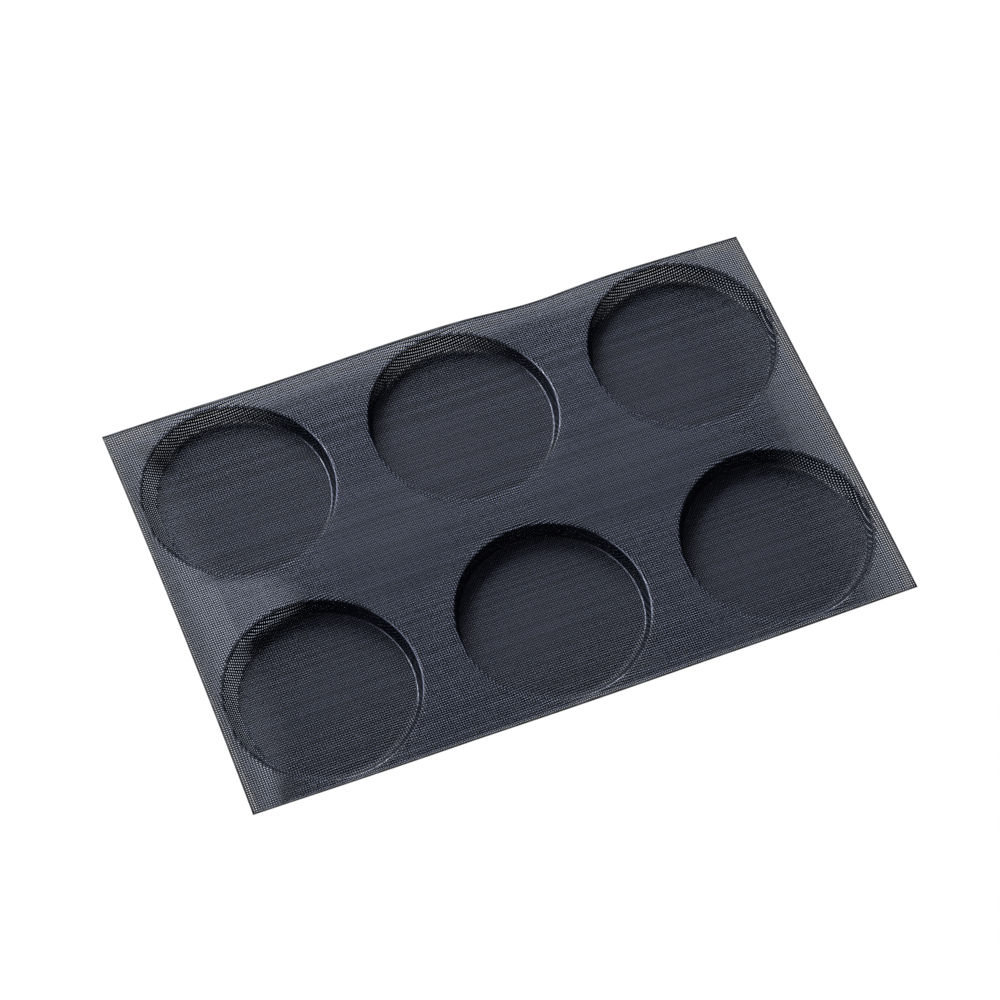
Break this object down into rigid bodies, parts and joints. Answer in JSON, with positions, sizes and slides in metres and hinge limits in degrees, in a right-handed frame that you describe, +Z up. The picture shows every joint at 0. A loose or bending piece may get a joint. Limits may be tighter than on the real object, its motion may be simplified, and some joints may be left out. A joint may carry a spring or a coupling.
{
  "type": "silicone baking mould",
  "caption": "Flexible sheet mould of silicone-coated glass mesh with rows of shallow round cups, laid on an oven tray to bake flat buns or pastry.",
  "frame": {"origin": "under the centre of the sheet, on the plane that the cup floors stand on", "axes": "+X along the long side, +Y along the short side towards the back row of cups, +Z up out of the cups"},
  "size_m": [0.36, 0.231, 0.01],
  "materials": {
    "silicone_coat": "dark slate silicone over a fine woven mesh, satin",
    "glass_mesh": "pale woven glass cloth, inside the coats",
    "edge_seal": "near-black silicone bead, satin"
  },
  "bodies": {
    "root": {"mesh_core": "glass_mesh", "web_upper_coat": "silicone_coat", "web_lower_coat": "silicone_coat", "cup_1_upper_coat": "silicone_coat", "cup_1_wall_lower_coat": "silicone_coat", "cup_1_floor_lower_coat": "silicone_coat", "cup_2_upper_coat": "silicone_coat", "cup_2_wall_lower_coat": "silicone_coat", "cup_2_floor_lower_coat": "silicone_coat", "cup_3_upper_coat": "silicone_coat", "cup_3_wall_lower_coat": "silicone_coat", "cup_3_floor_lower_coat": "silicone_coat", "cup_4_upper_coat": "silicone_coat", "cup_4_wall_lower_coat": "silicone_coat", "cup_4_floor_lower_coat": "silicone_coat", "cup_5_upper_coat": "silicone_coat", "cup_5_wall_lower_coat": "silicone_coat", "cup_5_floor_lower_coat": "silicone_coat", "cup_6_upper_coat": "silicone_coat", "cup_6_wall_lower_coat": "silicone_coat", "cup_6_floor_lower_coat": "silicone_coat", "edge_seal_front": "edge_seal", "edge_seal_back": "edge_seal", "edge_seal_left": "edge_seal", "edge_seal_right": "edge_seal"}
  },
  "joints": []
}
